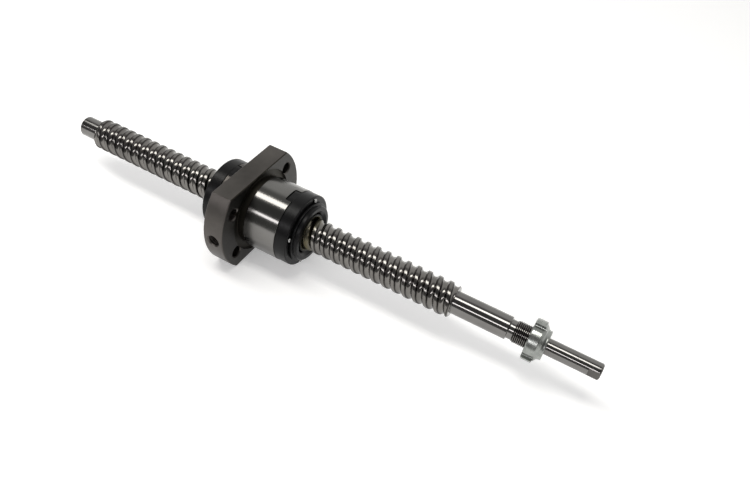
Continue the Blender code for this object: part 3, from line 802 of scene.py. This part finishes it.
def end_cap(end, plastic):
    """Cap with a seat for its ring, a tab for each start and the channels that turn the balls round."""
    seat = CAP_LENGTH - CAP_SEAT_DEPTH
    soft = 0.25 * MM
    bm = revolve(rounded(end.profile([
        (CAP_GAP, CAP_BORE_R), (CAP_GAP, CAP_R), (CAP_LENGTH, CAP_R), (CAP_LENGTH, CAP_SEAT_R),
        (seat, CAP_SEAT_R), (seat, CAP_BORE_R)]), [soft, 0.1 * MM, 0.6 * MM, soft, soft, soft]), 128)
    tabs = []
    channels = []
    for start in range(STARTS):
        turn = start * TURN / STARTS
        xs = sorted((end.x(-TAB_LENGTH), end.x(1.5 * MM)))
        tab = box((xs[0], -TAB_WIDTH / 2, NUT_R - TAB_DEPTH), (xs[1], TAB_WIDTH / 2, CAP_R - 0.15 * MM),
                  turn - end.out * TAB_ANGLE, 0.4 * MM)
        ends = [Vector((x, 0.0, 0.0)) for x in (xs[0] - MM, xs[1] + MM)]
        tabs.append(boolean(tab, [tube(*ends, CAP_R - 0.05 * MM, 256)], "INTERSECT"))
        points = [ring_point(end.x(CAP_GAP), r, RETURN_ANGLE + turn)
                  for r in (BALL_CENTRE_R, RETURN_CENTRE_R)]
        channels.append(tube(*points, RETURN_HOLE_R, 20))
    for angle in CAP_SCREW_ANGLES:
        points = [ring_point(end.x(d), CAP_SCREW_CIRCLE_R, angle) for d in (-MM, CAP_LENGTH + MM)]
        channels.append(tube(*points, CAP_SCREW_SHANK_R + 0.2 * MM, 16))
    bm = boolean(bm, tabs, "UNION")
    bm = boolean(bm, channels, "DIFFERENCE")
    name = f"{end.side}_end_cap"
    add_piece(f"{name}_moulding", bm, [plastic], "ball_nut", name)


def seal_ring(end, grease):
    start = CAP_LENGTH - CAP_SEAT_DEPTH + 0.3 * MM
    shoulder = start + SEAL_LENGTH
    front = CAP_LENGTH if end.side == "left" else CAP_LENGTH + SEAL_HUB_REACH
    soft = 0.15 * MM
    lip = 0.4 * MM
    bm = revolve(rounded(end.profile([
        (start, SEAL_INNER_R), (start, SEAL_OUTER_R), (shoulder, SEAL_OUTER_R), (shoulder, SEAL_HUB_R),
        (front, SEAL_HUB_R), (front, SEAL_INNER_R)]), [soft, soft, soft, 0.1 * MM, lip, lip]), 96)
    name = f"{end.side}_seal_ring"
    add_piece(f"{name}_moulding", bm, [grease], "seal_rings", name)


def retaining_ring(end, plastic):
    """Stepped ring with a dished mouth on the right cap, plain ring inside the left cap."""
    spigot_r = CAP_SEAT_R - 0.3 * MM
    spigot = CAP_LENGTH - 0.4 * MM
    soft = 0.12 * MM
    if end.side == "left":
        points = [(spigot, RING_OPENING_R), (spigot, spigot_r), (CAP_LENGTH + 0.2 * MM, spigot_r),
                  (CAP_LENGTH + 0.2 * MM, RING_OPENING_R)]
        radii = [soft] * 4
    else:
        base = CAP_LENGTH + 0.3 * MM
        points = [(spigot, RING_OPENING_R), (spigot, spigot_r), (base, spigot_r), (base, RING_OUTER_R),
                  (base + RING_FLANGE, RING_OUTER_R), (base + RING_STEP, RING_STEP_R),
                  (base + RING_HEIGHT, RING_STEP_R), (base + RING_HEIGHT, RING_OPENING_R + RING_RIM),
                  (base + RING_DISH, RING_OPENING_R)]
        radii = [soft, 0, 0, soft, 0.25 * MM, soft, 0.6 * MM, 0.3 * MM, soft]
    bm = revolve(rounded(end.profile(points), radii), 128)
    name = f"{end.side}_retaining_ring"
    add_piece(f"{name}_moulding", bm, [plastic], "ball_nut", name)


def cap_screw(end, index, angle, steel):
    """Small screw with a rounded head and a cross recess."""
    head = CAP_LENGTH + 0.3 * MM
    top = head + CAP_SCREW_HEAD
    bm = revolve(rounded(end.profile([
        (CAP_LENGTH - CAP_SCREW_LENGTH, 0.0), (CAP_LENGTH - CAP_SCREW_LENGTH, CAP_SCREW_SHANK_R),
        (head, CAP_SCREW_SHANK_R), (head, CAP_SCREW_HEAD_R), (top, CAP_SCREW_HEAD_R), (top, 0.0)]),
        [0, 0.1 * MM, 0, 0.05 * MM, 0.35 * MM, 0]), 32, closed=False)
    half, reach, depth = 0.12 * MM, 0.6 * MM, 0.35 * MM
    slots = []
    for turn in (0.4, 0.4 + TURN / 4):
        xs = sorted((end.x(top - depth), end.x(top + MM)))
        slots.append(box((xs[0], -reach, -half), (xs[1], reach, half), turn))
    bm = boolean(bm, slots, "DIFFERENCE")
    bm.transform(Matrix.Translation(ring_point(0.0, CAP_SCREW_CIRCLE_R, angle)))
    name = f"{end.side}_cap_screw_{index}"
    add_piece(f"{name}_steel", bm, [steel], "ball_nut", name)


def balls(name, centres, steel):
    bm = bmesh.new()
    for centre in centres:
        bmesh.ops.create_icosphere(bm, subdivisions=3, radius=BALL_R, matrix=Matrix.Translation(centre))
    add_piece(f"{name}_steel", bm, [steel], "ball_nut", name)


def all_balls(steel):
    turn_length = math.hypot(TURN * BALL_CENTRE_R, LEAD)
    loaded = int(LOADED_TURNS * turn_length / BALL_SPACING)
    step = BALL_SPACING / turn_length * LEAD
    back = int((NUT_RIGHT - NUT_LEFT) / BALL_SPACING)
    middle = (NUT_RIGHT + NUT_LEFT) / 2
    for start in range(STARTS):
        turn = start * TURN / STARTS
        path = []
        for i in range(loaded):
            x = LOADED_CENTRE + (i - (loaded - 1) / 2) * step
            path.append(ring_point(x, BALL_CENTRE_R, TURN * (x - THREAD_SHIFT) / LEAD + turn))
        balls(f"loaded_balls_{start + 1}", path, steel)
        line = [ring_point(middle + (i - (back - 1) / 2) * BALL_SPACING, RETURN_CENTRE_R, RETURN_ANGLE + turn)
                for i in range(back)]
        balls(f"return_balls_{start + 1}", line, steel)


# ---------------------------------------------------------------- the locknut

def locknut(zinc):
    collar = [(LOCKNUT_RIM_RIGHT + past * MM, radius * MM) for past, radius in LOCKNUT_COLLAR]
    bm = revolve(rounded([
        (LOCKNUT_LEFT, LOCKNUT_BORE_R), (LOCKNUT_LEFT, LOCKNUT_R), (LOCKNUT_RIM_RIGHT, LOCKNUT_R), *collar,
        (LOCKNUT_RIGHT, collar[-1][1]), (LOCKNUT_RIGHT, LOCKNUT_BORE_R),
        (INSERT_RIGHT + 0.3 * MM, LOCKNUT_BORE_R), (INSERT_RIGHT + 0.3 * MM, INSERT_OUTER_R + 0.1 * MM),
        (INSERT_LEFT - 0.3 * MM, INSERT_OUTER_R + 0.1 * MM), (INSERT_LEFT - 0.3 * MM, LOCKNUT_BORE_R)],
        [0.2 * MM, 0.7 * MM, 1.3 * MM, 0, 0.3 * MM, 0.3 * MM, 0.3 * MM, 0.4 * MM, 0.2 * MM, 0, 0, 0, 0]), 144)
    slots = []
    for i in range(LOCKNUT_SLOTS):
        turn = (i + 0.5) * TURN / LOCKNUT_SLOTS + LOCKNUT_TURN
        slots.append(box((LOCKNUT_LEFT - 2 * MM, -LOCKNUT_SLOT_WIDTH / 2, LOCKNUT_R - LOCKNUT_SLOT_DEPTH),
                         (LOCKNUT_RIM_RIGHT + 2 * MM, LOCKNUT_SLOT_WIDTH / 2, 2 * LOCKNUT_R),
                         turn, 0.35 * MM))
    bm = boolean(bm, slots, "DIFFERENCE")
    add_piece("locknut_steel", bm, [zinc], "lock_nut", "locknut")


def nylon_ring(nylon):
    inner = LOCKNUT_BORE_R + 0.05 * MM
    bm = revolve(rounded([(INSERT_LEFT, inner), (INSERT_LEFT, INSERT_OUTER_R), (INSERT_RIGHT, INSERT_OUTER_R),
                          (INSERT_RIGHT, inner)], [0.1 * MM] * 4), 96)
    add_piece("locknut_nylon", bm, [nylon], "nylon_ring", "locknut_nylon_ring")


# ---------------------------------------------------------------- studio

def floor():
    n = Nodes("floor_white")
    grain = n.noise((8.0, 8.0, 8.0))
    colour = n.ramp(grain, [(0.3, (0.93, 0.93, 0.93)), (0.7, (0.95, 0.95, 0.95))])
    material = n.finish(colour, 0.9, 0.0, None, Emission_Color=(1.0, 1.0, 1.0, 1.0), Emission_Strength=0.30)
    size = FLOOR_HALF
    bm = bmesh.new()
    corners = [bm.verts.new((x, y, FLOOR_Z)) for x, y in
               ((-size, -size), (size, -size), (size, size), (-size, size))]
    bm.faces.new(corners)
    mesh = bpy.data.meshes.new("floor")
    bm.to_mesh(mesh)
    bm.free()
    mesh.materials.append(material)
    linked("floor", mesh)


def room():
    """Soft room light that changes with the angle about the screw's axis, darker around the two lamps."""
    world = bpy.data.worlds.new("room")
    world.use_nodes = True
    tree = world.node_tree
    background = tree.nodes["Background"]
    coord = tree.nodes.new("ShaderNodeTexCoord")
    split = tree.nodes.new("ShaderNodeSeparateXYZ")
    angle = tree.nodes.new("ShaderNodeMath")
    angle.operation = "ARCTAN2"
    share = tree.nodes.new("ShaderNodeMath")
    share.operation = "MULTIPLY"
    share.inputs[1].default_value = 1.0 / math.pi
    ramp = tree.nodes.new("ShaderNodeValToRGB")
    tree.links.new(coord.outputs["Generated"], split.inputs["Vector"])
    tree.links.new(split.outputs["Z"], angle.inputs[0])
    tree.links.new(split.outputs["Y"], angle.inputs[1])
    tree.links.new(angle.outputs["Value"], share.inputs[0])
    tree.links.new(share.outputs["Value"], ramp.inputs["Fac"])
    elements = ramp.color_ramp.elements
    while len(elements) < len(ROOM_LEVELS):
        elements.new(0.5)
    for element, (degrees, level) in zip(elements, ROOM_LEVELS):
        element.position = degrees / 180.0
        element.color = (level, level, level * 0.985, 1.0)
    tree.links.new(ramp.outputs["Color"], background.inputs["Color"])
    background.inputs["Strength"].default_value = 1.0
    bpy.context.scene.world = world


def strip_light(name, degrees, spread_degrees, radiance, colour):
    """A long lamp parallel to the screw, at an angle about its axis."""
    data = bpy.data.lights.new(name, "AREA")
    data.shape = "RECTANGLE"
    width = 2 * LAMP_DISTANCE * math.tan(math.radians(spread_degrees / 2))
    data.size = LAMP_LENGTH
    data.size_y = width
    data.energy = radiance * math.pi * LAMP_LENGTH * width
    data.color = colour
    obj = linked(name, data)
    direction = ring_point(0.0, 1.0, math.radians(degrees))
    obj.location = direction * LAMP_DISTANCE + Vector((LAMP_X, 0.0, 0.0))
    obj.rotation_mode = "QUATERNION"
    side = Vector((1.0, 0.0, 0.0))
    obj.rotation_quaternion = Matrix((side, direction.cross(side), direction)).transposed().to_quaternion()


def camera():
    data = bpy.data.cameras.new("camera")
    data.lens = CAMERA_LENS
    data.sensor_width = SENSOR
    data.clip_start = 0.01
    data.clip_end = 10.0
    obj = linked("camera", data)
    obj.location = CAMERA_PLACE
    level = Vector(CAMERA_FORWARD).to_track_quat("-Z", "Y")
    obj.rotation_mode = "QUATERNION"
    obj.rotation_quaternion = level @ Quaternion((0.0, 0.0, 1.0), CAMERA_ROLL)
    bpy.context.scene.camera = obj


def build():
    journal = ground_steel("journal_steel", JOURNAL_TONE, 0.13)
    barrel = ground_steel("nut_barrel_steel", BARREL_TONE, 0.18)
    dark = thread_steel("fine_thread_steel", FINE_THREAD_R, FINE_THREAD_HIGHLIGHT_SHADE_TONES)
    milled = flange_steel("milled_flat_steel", MILLED_TONE)
    # near-black steel for the recess, neck and bore: painted shade
    shade = ground_steel("recess_shade_steel", RECESS_SHADE_TONE, 0.46, stretch=0.0)
    bright = ground_steel("bright_screw_steel", CAP_SCREW_TONE, 0.22)
    plastic = black_plastic("cap_plastic")
    grease = greasy_seal("greasy_seal_plastic")
    thread = thread_steel("thread_steel", SCREW_R, THREAD_EDGE_SHADE_TONES, greased=True)
    flange = flange_steel("flange_steel", FLANGE_TONE)
    # darker copy of the flange steel for its front face: painted shade
    flange_face_shade = flange_steel("flange_face_shade_steel", FLANGE_FACE_SHADE_TONE)
    screw_shaft(journal, thread, dark, milled)
    nut_body(flange, barrel, shade, flange_face_shade)
    for side in ("left", "right"):
        end = CapEnd(side)
        end_cap(end, plastic)
        seal_ring(end, grease)
        retaining_ring(end, plastic)
        for i, angle in enumerate(CAP_SCREW_ANGLES):
            cap_screw(end, i + 1, angle, bright)
    all_balls(polished_balls("ball_polished_steel"))
    locknut(zinc_plate("passivated_zinc"))
    nylon_ring(natural_nylon("natural_nylon"))
    floor()
    room()
    strip_light("overhead_lamp", 93.8, 15.0, 6.6, (1.0, 0.985, 0.95))
    strip_light("front_lamp", 145.8, 7.0, 6.4, (1.0, 0.975, 1.0))
    camera()
    bpy.context.scene.view_settings.view_transform = "Standard"


build()
